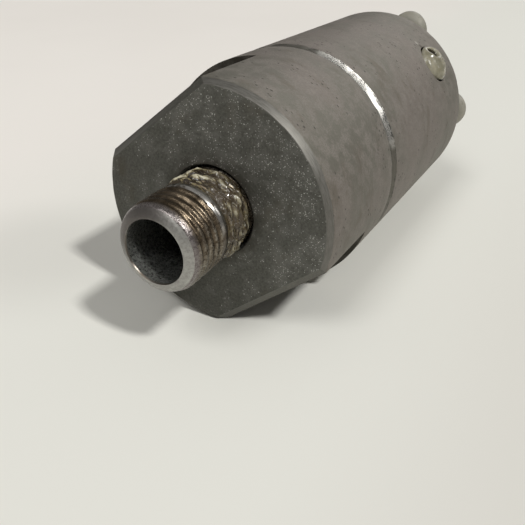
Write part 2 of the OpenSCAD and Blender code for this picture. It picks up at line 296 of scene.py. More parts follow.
def housing_edge():
    """Brighter metal of the turned chamfers, with scratches along the cut."""
    k = Look("housing_edge")
    marks = k.noise(1.0, 4.0, 0.7, k.stretched(0.7, 7.0))
    nicks = k.noise(0.9, 4.0, 0.7)
    metal = k.mix(k.steps(marks, 0.3, 0.7), (0.124, 0.119, 0.106), (0.190, 0.184, 0.168))
    metal = k.mix(k.steps(nicks, 0.62, 0.74, 0.0, 0.6), metal, (0.09, 0.085, 0.075))
    relief = k.bump(marks, 0.012)
    return k.finish(base_color=metal, metallic=0.75, roughness=k.steps(marks, 0.3, 0.7, 0.44, 0.56),
                    normal=relief)


def seam_bevel_steel():
    """Bevel at the seam: a bright copy painted on the upper right, where its highlight falls, and a dull copy
    elsewhere, with dark nicks and painted shade along its front edge by the seam gap.
    """
    k = Look("seam_bevel_steel")
    marks = k.noise(1.0, 4.0, 0.7, k.stretched(0.5, 8.0))
    nicks = k.noise(0.75, 5.0, 0.72, k.stretched(0.9, 1.5))
    ragged = k.math("MULTIPLY", k.noise(0.5, 4.0, 0.7), 5.0)
    # Painted highlight: the bevel is bright only on its upper right, where the highlight falls.
    highlight_side = k.math("MULTIPLY",
                    k.steps(k.math("ADD", k.x, ragged), 6.0, 9.5),
                    k.steps(k.math("ADD", k.z, ragged), 6.5, 9.5))
    dull = k.mix(k.steps(marks, 0.3, 0.7), (0.125, 0.118, 0.100), (0.185, 0.177, 0.155))
    bright = k.mix(k.steps(marks, 0.3, 0.7), (0.62, 0.61, 0.57), (0.85, 0.84, 0.80))
    metal = k.mix(highlight_side, dull, bright)
    border = k.steps(k.y, SEAM + 1.6, SEAM + 2.4, 0.0, 0.09)
    metal = k.mix(k.steps(k.math("ADD", nicks, border), 0.58, 0.64, 0.0, 0.85), metal, (0.075, 0.070, 0.060))
    # Painted shade along the bevel's front edge, by the gap at the seam.
    metal = k.mix(k.steps(k.y, SEAM + 1.0, SEAM + 0.7), metal, (0.035, 0.030, 0.024))
    relief = k.bump(marks, 0.008)
    relief = k.bump(nicks, 0.05, relief, 0.6)
    return k.finish(base_color=metal, metallic=1.0, roughness=k.steps(highlight_side, 0.0, 1.0, 0.55, 0.24),
                    normal=relief)


def flat_steel():
    """Milled wrench flats: straight cutter marks across a dark grey, partly painted shade of the flats and
    their shoulders, with a paler front chamfer.
    """
    k = Look("flat_steel")
    marks = k.noise(1.0, 3.0, 0.6, k.stretched(0.35, 5.0))
    grain = k.noise(3.0, 4.0, 0.65)
    # The dark grey is partly painted shade: the flats and their shoulders are kept darker than the steel of
    # the sides.
    metal = k.mix(k.steps(marks, 0.3, 0.7), (0.030, 0.026, 0.020), (0.082, 0.077, 0.066))
    metal = k.mix(k.steps(grain, 0.55, 0.75, 0.0, 0.5), metal, (0.026, 0.022, 0.017))
    chamfer = k.steps(k.y, FLAT_CHAMFER + 0.1, FLAT_CHAMFER - 0.2)
    paler = k.mix(k.steps(grain, 0.3, 0.7), (0.088, 0.086, 0.073), (0.150, 0.146, 0.128))
    metal = k.mix(chamfer, metal, paler)
    relief = k.bump(marks, 0.02)
    relief = k.bump(grain, 0.012, relief)
    return k.finish(base_color=metal, metallic=0.7, roughness=k.steps(grain, 0.3, 0.7, 0.42, 0.58),
                    normal=relief)


def bore_dark():
    """Unlit inner steel of ports, grooves and bores: dark, grainy and oily."""
    k = Look("bore_dark")
    grain = k.noise(2.4, 5.0, 0.75)
    metal = k.mix(k.steps(grain, 0.35, 0.70), (0.050, 0.052, 0.047), (0.215, 0.220, 0.205))
    return k.finish(base_color=metal, metallic=0.7, roughness=k.steps(grain, 0.3, 0.7, 0.22, 0.42),
                    normal=k.bump(grain, 0.26))


def thread_steel():
    """Worn thread full of brown grime, with thin bright crests, a plain pinkish lead and painted shade
    darkening its underside.
    """
    k = Look("thread_steel")
    r = k.radius()
    patch = k.noise(0.45, 4.0, 0.65, k.stretched(1.0, 0.8))
    speck = k.noise(2.2, 4.0, 0.7)
    grime = k.mix(k.steps(patch, 0.35, 0.65), (0.060, 0.044, 0.028), (0.150, 0.118, 0.082))
    steel = k.mix(k.steps(patch, 0.40, 0.60), (0.190, 0.160, 0.125), (0.360, 0.335, 0.285))
    crest = k.steps(r, THREAD_R - 0.28, THREAD_R - 0.08)
    worn = k.math("MULTIPLY", crest, k.steps(speck, 0.36, 0.60))
    metal = k.mix(worn, grime, steel)
    metal = k.mix(k.steps(speck, 0.58, 0.74, 0.0, 0.6), metal, (0.230, 0.180, 0.100))
    metal = k.mix(k.steps(speck, 0.42, 0.30, 0.0, 0.7), metal, (0.045, 0.032, 0.020))
    # Painted shade: darker towards the underside.
    metal = k.mix(k.steps(k.z, 1.5, -4.5, 0.0, 0.55), metal, (0.060, 0.052, 0.038))
    lead = k.steps(k.math("ADD", k.y, speck), NIPPLE_TIP + 2.3, NIPPLE_TIP + 1.5)
    plain = k.mix(k.steps(speck, 0.35, 0.65), (0.150, 0.130, 0.125), (0.260, 0.238, 0.232))
    metal = k.mix(lead, metal, plain)
    rough = k.steps(speck, 0.3, 0.7, 0.20, 0.38)
    relief = k.bump(speck, 0.05)
    return k.finish(base_color=metal, metallic=0.85, roughness=rough, normal=relief)


def rim_steel():
    """Pitted light grey end of the nipple, with painted shade darkening its upper left."""
    k = Look("rim_steel")
    grain = k.noise(2.4, 4.0, 0.7)
    marks = k.noise(1.0, 3.0, 0.6, k.rings(1.5, 3.0))
    metal = k.mix(k.steps(grain, 0.3, 0.7), (0.26, 0.253, 0.238), (0.40, 0.393, 0.37))
    metal = k.mix(k.steps(marks, 0.52, 0.75, 0.0, 0.5), metal, (0.60, 0.595, 0.57))
    metal = k.mix(k.steps(grain, 0.66, 0.74, 0.0, 0.7), metal, (0.08, 0.075, 0.065))
    # Painted shade: the rim is darkened towards its upper left.
    upper_left_shade = k.steps(k.math("SUBTRACT", k.z, k.x), -1.0, 6.0, 0.0, 0.85)
    metal = k.mix(upper_left_shade, metal, (0.105, 0.093, 0.086))
    return k.finish(base_color=metal, metallic=0.75, roughness=0.40, normal=k.bump(grain, 0.05))


def collar_steel():
    """Plain collar between the threads: bright on top, and dark brown and dull below, where the darkening is
    painted shade.
    """
    k = Look("collar_steel")
    marks = k.noise(1.0, 3.0, 0.65, k.stretched(0.6, 6.0))
    patch = k.noise(0.6, 4.0, 0.6)
    metal = k.mix(k.steps(marks, 0.3, 0.7), (0.48, 0.46, 0.43), (0.74, 0.73, 0.70))
    metal = k.mix(k.steps(patch, 0.52, 0.66, 0.0, 0.8), metal, (0.10, 0.075, 0.045))
    # Painted shade: the lower side is made dark brown; the same mask also makes it rougher.
    low = k.steps(k.z, 3.6, -0.6)
    metal = k.mix(k.math("MULTIPLY", low, 0.88), metal, (0.095, 0.078, 0.060))
    rough = k.math("ADD", k.steps(patch, 0.3, 0.7, 0.12, 0.26), k.math("MULTIPLY", low, 0.16))
    return k.finish(base_color=metal, metallic=1.0, roughness=rough,
                    normal=k.bump(marks, 0.02))


def sealant_skin():
    """Thread compound: dark brown in its folds, olive gold to cream on its ridges, wet looking, and darker
    towards its right as painted shade.
    """
    k = Look("sealant_skin")
    r = k.radius()
    patch = k.noise(0.38, 4.0, 0.65)
    folds = k.noise(0.62, 4.0, 0.65, k.stretched(0.75, 2.0), 0.8)
    lumps = k.noise(1.7, 4.0, 0.65)
    height = k.math("ADD",
                    k.steps(r, THREAD_R - 0.30, THREAD_R + 0.36, 0.0, 0.70),
                    k.steps(folds, 0.34, 0.66, -0.45, 0.50))
    tint = k.mix(k.steps(height, 0.10, 0.42), (0.022, 0.014, 0.007), (0.245, 0.204, 0.106))
    tint = k.mix(k.steps(height, 0.48, 0.76), tint, (0.660, 0.620, 0.460))
    # Painted shade: darker brown towards the right (+X).
    tint = k.mix(k.steps(k.x, -1.5, 4.5, 0.0, 0.60), tint, (0.058, 0.042, 0.022))
    tint = k.mix(k.steps(patch, 0.50, 0.60, 0.0, 0.90), tint, (0.048, 0.032, 0.015))
    tint = k.mix(k.steps(lumps, 0.60, 0.68, 0.0, 0.7), tint, (0.700, 0.680, 0.600))
    relief = k.bump(folds, 0.45)
    relief = k.bump(lumps, 0.16, relief)
    return k.finish(base_color=tint, metallic=0.0, roughness=k.steps(lumps, 0.3, 0.7, 0.12, 0.30),
                    coat_weight=0.6, coat_roughness=0.06, normal=relief)


def compound_skin():
    """Cured sealing compound over the lock screw: milky olive, wet looking, a little see-through."""
    k = Look("compound_skin")
    cloud = k.noise(0.5, 3.0, 0.6)
    dirt = k.noise(1.1, 4.0, 0.65)
    milk = k.mix(k.steps(cloud, 0.35, 0.65), (0.190, 0.178, 0.126), (0.290, 0.272, 0.208))
    milk = k.mix(k.steps(dirt, 0.58, 0.76, 0.0, 0.5), milk, (0.140, 0.125, 0.080))
    return k.finish(base_color=milk, metallic=0.0, roughness=k.steps(dirt, 0.3, 0.7, 0.17, 0.25),
                    specular_ior_level=0.4, subsurface_weight=0.30, subsurface_radius=(1.0, 0.9, 0.6),
                    subsurface_scale=0.0012, normal=k.bump(dirt, 0.05))


def compound_hollow():
    """Near-black look of the collapsed bubble and of the blob's stem and underside in its pocket: painted
    shade of these hollows, with grime.
    """
    k = Look("compound_hollow")
    dirt = k.noise(1.6, 4.0, 0.65)
    tint = k.mix(k.steps(dirt, 0.35, 0.65), (0.012, 0.010, 0.006), (0.045, 0.038, 0.022))
    return k.finish(base_color=tint, roughness=k.steps(dirt, 0.3, 0.7, 0.6, 0.8), specular_ior_level=0.2,
                    normal=k.bump(dirt, 0.08))


def cap_nylon():
    """Natural moulded nylon gone grey with oil: milky, satin, warm on the worn tips."""
    k = Look("cap_nylon")
    r = k.radius()
    cloud = k.noise(0.35, 3.0, 0.6)
    dirt = k.noise(0.9, 4.0, 0.65)
    fine = k.noise(4.0, 3.0, 0.6)
    milk = k.mix(k.steps(cloud, 0.35, 0.65), (0.190, 0.186, 0.150), (0.262, 0.248, 0.206))
    milk = k.mix(k.steps(r, CAP_WALL_R + 1.2, BODY_R + 0.2, 0.0, 0.6), milk, (0.280, 0.266, 0.222))
    milk = k.mix(k.steps(dirt, 0.56, 0.74, 0.0, 0.6), milk, (0.130, 0.118, 0.085))
    relief = k.bump(fine, 0.015)
    relief = k.bump(dirt, 0.05, relief)
    return k.finish(base_color=milk, metallic=0.0, roughness=k.steps(dirt, 0.3, 0.7, 0.45, 0.62),
                    subsurface_weight=0.25, subsurface_radius=(1.0, 0.9, 0.7),
                    subsurface_scale=0.0014, normal=relief)


def cap_shadow():
    """Walls of the grille slots: painted shade, darker than the cap, with oily grime."""
    k = Look("cap_shadow")
    dirt = k.noise(1.2, 4.0, 0.65)
    tint = k.mix(k.steps(dirt, 0.35, 0.65), (0.090, 0.080, 0.055), (0.210, 0.195, 0.145))
    return k.finish(base_color=tint, roughness=k.steps(dirt, 0.3, 0.7, 0.3, 0.5), normal=k.bump(dirt, 0.05))


def seal_rubber():
    k = Look("seal_rubber")
    dust = k.noise(1.8, 4.0, 0.65)
    tint = k.mix(k.steps(dust, 0.4, 0.7), (0.012, 0.012, 0.012), (0.040, 0.038, 0.034))
    return k.finish(base_color=tint, roughness=k.steps(dust, 0.3, 0.7, 0.42, 0.62), normal=k.bump(dust, 0.02))


def sintered_bronze():
    """Pressed bronze beads, with dark pores between them."""
    k = Look("sintered_bronze")
    beads = k.cells(2.2)
    gap = k.steps(beads.outputs["Distance"], 0.35, 0.75)
    tone = k.noise(0.8, 3.0, 0.6)
    metal = k.mix(k.steps(tone, 0.35, 0.65), (0.36, 0.23, 0.10), (0.52, 0.37, 0.19))
    metal = k.mix(gap, metal, (0.045, 0.030, 0.016))
    return k.finish(base_color=metal, metallic=0.85, roughness=k.steps(tone, 0.3, 0.7, 0.35, 0.5),
                    normal=k.bump(gap, -0.15))


def rolled_stainless():
    """Bright rolled sheet and tube of the inner pieces."""
    k = Look("rolled_stainless")
    marks = k.noise(1.0, 4.0, 0.6, k.stretched(0.4, 6.0))
    soil = k.noise(0.3, 4.0, 0.6)
    metal = k.mix(k.steps(marks, 0.3, 0.7), (0.45, 0.45, 0.44), (0.60, 0.60, 0.59))
    metal = k.mix(k.steps(soil, 0.55, 0.75, 0.0, 0.5), metal, (0.20, 0.18, 0.14))
    return k.finish(base_color=metal, metallic=1.0, roughness=k.steps(soil, 0.3, 0.7, 0.26, 0.42),
                    normal=k.bump(marks, 0.008))


def dark_spring_steel():
    """Oiled dark spring steel."""
    k = Look("dark_spring_steel")
    film = k.noise(0.7, 4.0, 0.6)
    grain = k.noise(3.5, 3.0, 0.6)
    metal = k.mix(k.steps(film, 0.35, 0.65), (0.050, 0.050, 0.054), (0.110, 0.108, 0.106))
    return k.finish(base_color=metal, metallic=0.9, roughness=k.steps(film, 0.3, 0.7, 0.28, 0.42),
                    normal=k.bump(grain, 0.008))


def needled_felt():
    """Felt: matted fibres, cream with oil stains."""
    k = Look("needled_felt")
    fibres = k.noise(3.0, 6.0, 0.75, None, 1.8)
    soil = k.noise(0.15, 4.0, 0.6)
    wool = k.mix(k.steps(fibres, 0.35, 0.65), (0.36, 0.33, 0.26), (0.58, 0.54, 0.44))
    wool = k.mix(k.steps(soil, 0.52, 0.72, 0.0, 0.6), wool, (0.19, 0.15, 0.09))
    return k.finish(base_color=wool, roughness=0.95, sheen_weight=0.35, sheen_roughness=0.5,
                    normal=k.bump(fibres, 0.25))


def table_top():
    """Pale table with a faint random haze; painted light and shade make it greener and darker near the
    muffler's axis, greyer towards its right as a falloff of the light, and greyer in one broad area on its
    left as a soft shadow.
    """
    k = Look("table_top")
    haze = k.noise(0.006, 3.0, 0.5)
    tint = k.mix(k.steps(haze, 0.3, 0.7), (0.845, 0.812, 0.770), (0.875, 0.842, 0.800))
    # Painted shade: greener and a little darker near the muffler's axis.
    tint = k.mix(k.steps(k.radius(), 95.0, 30.0, 0.0, 0.8), tint, (0.800, 0.803, 0.750))
    # Painted falloff of the light: greyer towards the right.
    tint = k.mix(k.steps(k.x, 20.0, 62.0, 0.0, 0.6), tint, (0.650, 0.635, 0.590))
    # Painted soft shadow: a broad greyer area on the left.
    left = k.add("ShaderNodeVectorMath", {0: k.mm, 1: (-42.0, 4.0, -BODY_R)}, operation="DISTANCE").outputs[1]
    tint = k.mix(k.steps(left, 30.0, 6.0, 0.0, 0.5), tint, (0.640, 0.630, 0.590))
    return k.finish(base_color=tint, roughness=0.95, specular_ior_level=0.08)


# ---------------------------------------------------------------- mesh helpers

def on_circle(r, y, clock):
    """Point at a radius, a place along the axis and a clock angle from straight up towards +X."""
    return Vector((r * math.sin(clock), y, r * math.cos(clock)))


def build(name, points, faces, looks, face_looks=None, sharp=35):
    """A smooth shaded object from points in millimetres, with outward normals."""
    mesh = bpy.data.meshes.new(name)
    mesh.from_pydata([p * MM for p in points], [], faces)
    for look in looks:
        mesh.materials.append(look)
    if face_looks:
        mesh.polygons.foreach_set("material_index", face_looks)
    bm = bmesh.new()
    bm.from_mesh(mesh)
    bmesh.ops.remove_doubles(bm, verts=bm.verts, dist=0.004 * MM)
    bmesh.ops.recalc_face_normals(bm, faces=bm.faces)
    bm.to_mesh(mesh)
    bm.free()
    shade(mesh, sharp)
    piece = bpy.data.objects.new(name, mesh)
    bpy.context.scene.collection.objects.link(piece)
    return piece


def shade(mesh, sharp):
    """Smooth faces that stay sharp where they meet at more than that angle in degrees."""
    mesh.polygons.foreach_set("use_smooth", [True] * len(mesh.polygons))
    mesh.set_sharp_from_angle(angle=math.radians(sharp))
    mesh.update()


def rounded(outline, steps=3):
    """Outline of (radius, place, corner rounding, look) with its corners rounded and long stretches split."""
    out = []
    count = len(outline)
    for i, (r, y, fillet, look) in enumerate(outline):
        here = Vector((r, y))
        before = Vector(outline[i - 1][:2]) - here
        after = Vector(outline[(i + 1) % count][:2]) - here
        reach = min(fillet, before.length * 0.45, after.length * 0.45)
        if reach < 0.01:
            out.append((r, y, look))
            continue
        start = here + before.normalized() * reach
        end = here + after.normalized() * reach
        for s in range(steps + 1):
            t = s / steps
            p = start * (1 - t) ** 2 + here * (2 * t * (1 - t)) + end * t ** 2
            out.append((p.x, p.y, look if s == steps else outline[i][3]))
    return out


def split_long(outline, longest):
    """Adds points so that no stretch of the outline is longer than that."""
    out = []
    for i, (r, y, look) in enumerate(outline):
        nr, ny, _ = outline[(i + 1) % len(outline)]
        parts = max(1, math.ceil(math.hypot(nr - r, ny - y) / longest))
        for s in range(parts):
            t = s / parts
            out.append((r + (nr - r) * t, y + (ny - y) * t, look))
    return out


def turned(name, outline, looks, turns=192, wear=None, longest=2.0, sharp=35):
    """Closed outline turned round the axis. wear(clock, r, y) moves each point a little."""
    profile = split_long(rounded(outline), longest)
    count = len(profile)
    points, faces, face_looks = [], [], []
    for i in range(turns):
        clock = 2 * math.pi * i / turns
        for r, y, _ in profile:
            if wear:
                r, y = wear(clock, r, y)
            points.append(on_circle(r, y, clock))
    for i in range(turns):
        k = (i + 1) % turns
        for j in range(count):
            m = (j + 1) % count
            if profile[j][0] < 1e-6 and profile[m][0] < 1e-6:
                continue
            faces.append((i * count + j, i * count + m, k * count + m, k * count + j))
            face_looks.append(profile[j][2])
    return build(name, points, faces, looks, face_looks, sharp)


def edge_wear(edges, reach, depth, seed=0.0):
    """Small dents along turned edges, each edge given as (radius, place)."""

    def wear(clock, r, y):
        spot = on_circle(BODY_R, y, clock) * 0.55 + Vector((seed, seed, seed))
        dent = max(0.0, noise.noise(spot) - 0.12) * 2.2 + 0.15 * noise.noise(spot * 4.0)
        near = max(max(0.0, 1 - math.hypot(r - er, y - ey) / reach) for er, ey in edges)
        return r - depth * dent * near, y

    return wear


def place(piece, slot, *nodes):
    """The piece rides on the frame and stands for these CAD nodes, which it hides. slot is not used."""
    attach(piece, "root")
    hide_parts(*nodes)
    return piece


def cut(piece, cutter):
    """Cuts one closed mesh out of another and removes the cutter."""
    modifier = piece.modifiers.new("cut", "BOOLEAN")
    modifier.object = cutter
    modifier.operation = "DIFFERENCE"
    modifier.solver = "EXACT"
    modifier.material_mode = "TRANSFER"
    depsgraph = bpy.context.evaluated_depsgraph_get()
    mesh = bpy.data.meshes.new_from_object(piece.evaluated_get(depsgraph))
    piece.modifiers.clear()
    piece.data = mesh
    bpy.data.objects.remove(cutter)


# ---------------------------------------------------------------- pieces

def flat_cutter(clock, look):
    """Prism that leaves one wrench flat, its front chamfer and its square shoulder."""
    tool_r = 0.5
    corner = [
        (FLAT_DISTANCE + tool_r * (1 - math.cos(a)), FLAT_LENGTH - tool_r * (1 - math.sin(a)))
        for a in (math.pi / 2 * s / 4 for s in range(5))
    ]
    profile = [
        (FLAT_DISTANCE - FLAT_CHAMFER - 1, -1),
        (FLAT_DISTANCE, FLAT_CHAMFER),
        *corner,
        (BODY_R + 4, FLAT_LENGTH),
        (BODY_R + 4, -1),
    ]
    out = on_circle(1, 0, clock)
    side = on_circle(1, 0, clock + math.pi / 2)
    points = [
        out * n + Vector((0, y, 0)) + side * s
        for s in (-BODY_R, BODY_R) for n, y in profile
    ]
    count = len(profile)
    faces = [(i, (i + 1) % count, count + (i + 1) % count, count + i) for i in range(count)]
    faces += [tuple(range(count)), tuple(range(count, 2 * count))]
    return build("flat_cutter", points, faces, [look])


def make_front_body(looks):
    side, face, edge, dark, flat = looks
    on_side, on_face, on_edge, on_dark = range(4)
    r_chamfer, y_chamfer = FACE_CHAMFER
    groove_r, groove_length = SEAL_GROOVE
    outline = [
        (COUNTERSINK_R, 0.0, 0.12, on_face),
        (BODY_R - r_chamfer, 0.0, 0.10, on_edge),
        (BODY_R, y_chamfer, 0.15, on_side),
        (BODY_R, SEAM, 0.15, on_dark),
        (groove_r, SEAM, 0.0, on_dark),
        (groove_r, SEAM + groove_length, 0.0, on_dark),
        (SPIGOT_R, SEAM + groove_length, 0.2, on_dark),
        (SPIGOT_R, front_high.y, 0.2, on_dark),
        (CAVITY_R, front_high.y, 0.2, on_dark),
        (CAVITY_R, CAVITY_FLOOR, 0.5, on_dark),
        (TUBE_SEAT_R, CAVITY_FLOOR, 0.1, on_dark),
        (TUBE_SEAT_R, PORT_FLOOR, 0.1, on_dark),
        (PORT_R, PORT_FLOOR, 0.1, on_dark),
        (PORT_R, 1.0, 0.0, on_dark),
    ]
    wear = edge_wear(
        [(BODY_R - r_chamfer, 0.0), (BODY_R, y_chamfer), (BODY_R, SEAM)], 0.5, 0.08)
    body = turned("front_body_steel", outline, [side, face, edge, dark], wear=wear)
    for turn in (0, math.pi):
        cut(body, flat_cutter(FLAT_ANGLE + turn, flat))
    shade(body.data, 30)
    return place(body, "housing_steel", "front_body")


def pocket_cutter(r, bottom, top, look):
    """Short round cutter that points outwards at the lock screw."""
    sides = 64
    out = on_circle(1, 0, LOCK_CLOCK)
    around = on_circle(1, 0, LOCK_CLOCK + math.pi / 2)
    points = [
        out * h + around * (r * math.cos(a)) + Vector((0, LOCK_Y + r * math.sin(a), 0))
        for h in (bottom, top) for a in (2 * math.pi * s / sides for s in range(sides))
    ]
    faces = [(i, (i + 1) % sides, sides + (i + 1) % sides, sides + i) for i in range(sides)]
    faces += [tuple(range(sides)), tuple(range(sides, 2 * sides))]
    return build("pocket_cutter", points, faces, [look])


def make_rear_shell(looks):
    side, bevel, dark = looks
    on_side, on_bevel, on_dark = range(3)
    r_bevel, y_bevel = SEAM_BEVEL
    outline = [
        (SOCKET_R, SHELL_START, 0.0, on_dark),
        (BODY_R - r_bevel, SHELL_START, 0.08, on_bevel),
        (BODY_R, SHELL_START + y_bevel, 0.10, on_side),
        (BODY_R, BODY_END, 0.7, on_side),
        (SHELL_BORE_R + 0.6, BODY_END, 0.1, on_dark),
        (SHELL_BORE_R, BODY_END - 0.6, 0.1, on_dark),
        (SHELL_BORE_R, SOCKET_FLOOR, 0.1, on_dark),
        (SOCKET_R, SOCKET_FLOOR, 0.1, on_dark),
    ]
    wear = edge_wear(
        [(BODY_R - r_bevel, SHELL_START), (BODY_R, SHELL_START + y_bevel), (BODY_R, BODY_END)],
        0.7, 0.18, seed=7.3)
    shell = turned("rear_shell_steel", outline, [side, bevel, dark], wear=wear)
    cut(shell, pocket_cutter(POCKET_R, POCKET_FLOOR, BODY_R + 3, dark))
    cut(shell, pocket_cutter(SCREW_HOLE_R, SHELL_BORE_R - 1, BODY_R, dark))
    shade(shell.data, 30)
    return place(shell, "housing_steel", "rear_shell")


def leaned(points):
    """The nipple stands a little askew in its socket: its tip hangs slightly low."""
    return [Vector((p.x, p.y, p.z + NIPPLE_LEAN * min(0.0, p.y))) for p in points]


def thread_height(turn_place):
    """Height of the rounded thread form, 0 in the root and 1 on the worn crest."""
    wave = 0.5 - 0.5 * math.cos(2 * math.pi * turn_place)
    return min(1.0, wave / 0.80)


def nipple_radius(clock, y):
    """Radius of the nipple's outside: clogged threads, a rounded collar and the end chamfers."""
    collar_start, collar_end = COLLAR
    crest = THREAD_R if y < collar_start else THREAD_R - 0.05
    height = thread_height(y / THREAD_PITCH - clock / (2 * math.pi))
    spot = on_circle(THREAD_R, y, clock)
    worn = max(0.0, noise.noise(spot * 0.9)) * 0.25
    clogged = THREAD_DEPTH * (0.36 + 0.22 * noise.noise(spot * 0.35 + Vector((5, 2, 8))))
    r = crest - clogged * (1 - height * (1 - worn)) + 0.03 * noise.noise(spot * 3.1)
    inside = min(y - collar_start, collar_end - y)
    blend = 0.3
    if inside > -blend:
        share = min(1.0, (inside + blend) / blend)
        half = (collar_end - collar_start) / 2
        swell = 1 - ((y - collar_start - half) / half) ** 2
        collar_r = THREAD_R - 0.42 + 0.30 * max(0.0, swell)
        r += (collar_r - r) * share
    tip = y - NIPPLE_TIP
    if tip < 0.90:
        lead = THREAD_R - 0.50 + (tip - 0.70) * 0.9
    else:
        lead = THREAD_R - 0.32 + (tip - 0.90) * 0.42
    r = min(r, lead + 0.02 * noise.noise(spot * 1.7))
    return min(r, THREAD_R - 0.6 + (NIPPLE_END - y))


def nipple_rows():
    """Outside of the nipple on a grid sheared along the helix, so that crests run unbroken."""
    turns, per_pitch = 168, 12
    step = THREAD_PITCH / per_pitch
    first = math.floor(NIPPLE_TIP / step) - per_pitch
    last = math.ceil(NIPPLE_END / step) + 1
    rows = []
    for i in range(turns + 1):
        clock = 2 * math.pi * i / turns
        lead = THREAD_PITCH * i / turns
        column = []
        for j in range(first, last + 1):
            y = min(max(j * step + lead, NIPPLE_TIP + 0.70), NIPPLE_END)
            column.append((nipple_radius(clock, y), y))
        rows.append(column)
    return rows


def sheared_tube(name, clock_rows, inner, looks, look_of, inner_look):
    """Closed ring from an outer grid of (radius, place) columns and an inner outline."""
    turns = len(clock_rows) - 1
    points, faces, face_looks = [], [], []
    count = len(clock_rows[0])
    tail = len(inner)
    for i in range(turns + 1):
        clock = 2 * math.pi * i / turns
        for r, y in clock_rows[i]:
            points.append(on_circle(r, y, clock))
        for r, y in inner:
            points.append(on_circle(r, y, clock))
    points = leaned(points)
    ring = count + tail
    for i in range(turns):
        for j in range(ring):
            m = (j + 1) % ring
            a, b = i * ring + j, i * ring + m
            faces.append((a, b, b + ring, a + ring))
            if j < count - 1:
                face_looks.append(look_of(clock_rows[i][j]))
            else:
                face_looks.append(inner_look(j - count + 1))
    return build(name, points, faces, looks, face_looks, 40)


def make_inlet_nipple(looks):
    thread, rim, collar, dark = range(4)

    def outside(point):
        return collar if COLLAR[0] < point[1] < COLLAR[1] else thread

    inner = [
        (INLET_R, NIPPLE_END),
        *[(INLET_R, NIPPLE_END + (NIPPLE_TIP + 0.35 - NIPPLE_END) * s / 12) for s in range(1, 13)],
        (INLET_R + 0.02, NIPPLE_TIP + 0.20),
        (INLET_R + 0.16, NIPPLE_TIP),
        (INLET_R + 0.45, NIPPLE_TIP + 0.05),
        (INLET_R + 0.95, NIPPLE_TIP + 0.36),
    ]
    last = len(inner)
    piece = sheared_tube(
        "inlet_nipple_steel", nipple_rows(), inner, looks, outside,
        lambda j: rim if j >= last - 2 else collar if j == last - 3 else dark)
    return place(piece, "nipple_steel", "inlet_nipple")


def make_sealant(look):
    """Lumpy wrap over the rear thread, thinner at its front edge and torn in places."""
    turns, rows = 160, 44
    start, end = COLLAR[1] - 0.25, 0.7
    outer = []
    for i in range(turns + 1):
        clock = 2 * math.pi * (i % turns) / turns
        column = []
        for j in range(rows + 1):
            t = j / rows
            y = start + (end - start) * t
            spot = on_circle(THREAD_R, y, clock)
            cover = min(1.0, t * 5.0) * min(1.0, (1 - t) * 4.0)
            lumps = 0.36 * noise.noise(spot * 0.62)
            folds = 0.42 * noise.noise(Vector((spot.x * 0.7, spot.y * 1.9, spot.z * 0.7)) + Vector((3, 1, 4)))
            ridge = 0.20 * thread_height(y / THREAD_PITCH - clock / (2 * math.pi))
            r = THREAD_R - 0.30 + cover * (0.20 + ridge + lumps + folds)
            column.append((min(r, COUNTERSINK_R - 0.12), y))
        outer.append(column)
    inner = [(THREAD_R - 0.62, end), (THREAD_R - 0.62, start)]
    piece = sheared_tube("thread_sealant_wrap", outer, inner, [look], lambda p: 0, lambda j: 0)
    return place(piece, "sealant", "thread_sealant")


def make_lock_sealant(looks):
    """Cured blob in the pocket: a lumpy dome with a collapsed bubble, lapped over the rear edge."""
    out = on_circle(1, 0, LOCK_CLOCK)
    around = on_circle(1, 0, LOCK_CLOCK + math.pi / 2)
    along = Vector((0, 1, 0))
    rings, sides = 44, 90
    stem_r, height = 3.3, 1.30
    hollow, hollow_r = Vector((-1.80, 0.25)), 1.05
    levels = [(stem_r, POCKET_FLOOR - BODY_R, 0), (stem_r, -0.9, 0)]
    for ring in range(rings + 1):
        a = math.pi / 2 * ring / rings
        levels.append((math.cos(a) ** 0.72, -0.45 + (height + 0.45) * math.sin(a), min(1.0, a / 0.3)))
    points, faces, face_looks = [], [], []
    for level, (r, h, above) in enumerate(levels):
        for s in range(sides):
            a = 2 * math.pi * s / sides
            if level > 1:
                uneven = noise.noise(Vector((math.cos(a), math.sin(a), 2.0)))
                head_r = 3.68 + 0.58 * math.sin(a) + 0.05 * uneven
                u, v = (r * (stem_r + (head_r - stem_r) * above) * t for t in (math.cos(a), math.sin(a)))
                spot = Vector((u * 0.5, v * 0.5, 4.1))
                share = max(0.0, h / height)
                away = (Vector((u, v)) - hollow).length
                lift = 0.16 * noise.noise(spot) * share + 0.10 * noise.noise(spot * 2.6) * share
                lift -= 1.10 * math.exp(-(away / hollow_r) ** 6)
                lift += 0.28 * math.exp(-((away - hollow_r * 1.6) / 0.42) ** 2) * share
                lift += 0.08 * (v - hollow.y) * share
            else:
                u, v, lift = r * math.cos(a), r * math.sin(a), 0.0
            surface = math.sqrt(BODY_R ** 2 - u * u) if level > 1 else BODY_R
            points.append(out * (surface + h + lift) + around * u + along * (LOCK_Y + v))
    for level in range(len(levels) - 1):
        for s in range(sides):
            n = (s + 1) % sides
            a, b = level * sides + s, level * sides + n
            faces.append((a, b, b + sides, a + sides))
            centre = (points[a] + points[b + sides]) / 2
            spot = Vector((centre.dot(around), centre.y - LOCK_Y))
            # Painted shade: the stem and underside down in the pocket and the collapsed bubble get the
            # near-black look.
            shaded_hollow = level < 5 or (spot - hollow).length < hollow_r * 1.02
            face_looks.append(1 if shaded_hollow else 0)
    faces.append(tuple(range(sides)))
    face_looks.append(0)
    piece = build("lock_sealant_blob", points, faces, looks, face_looks, 60)
    return place(piece, "lock_compound", "lock_sealant")


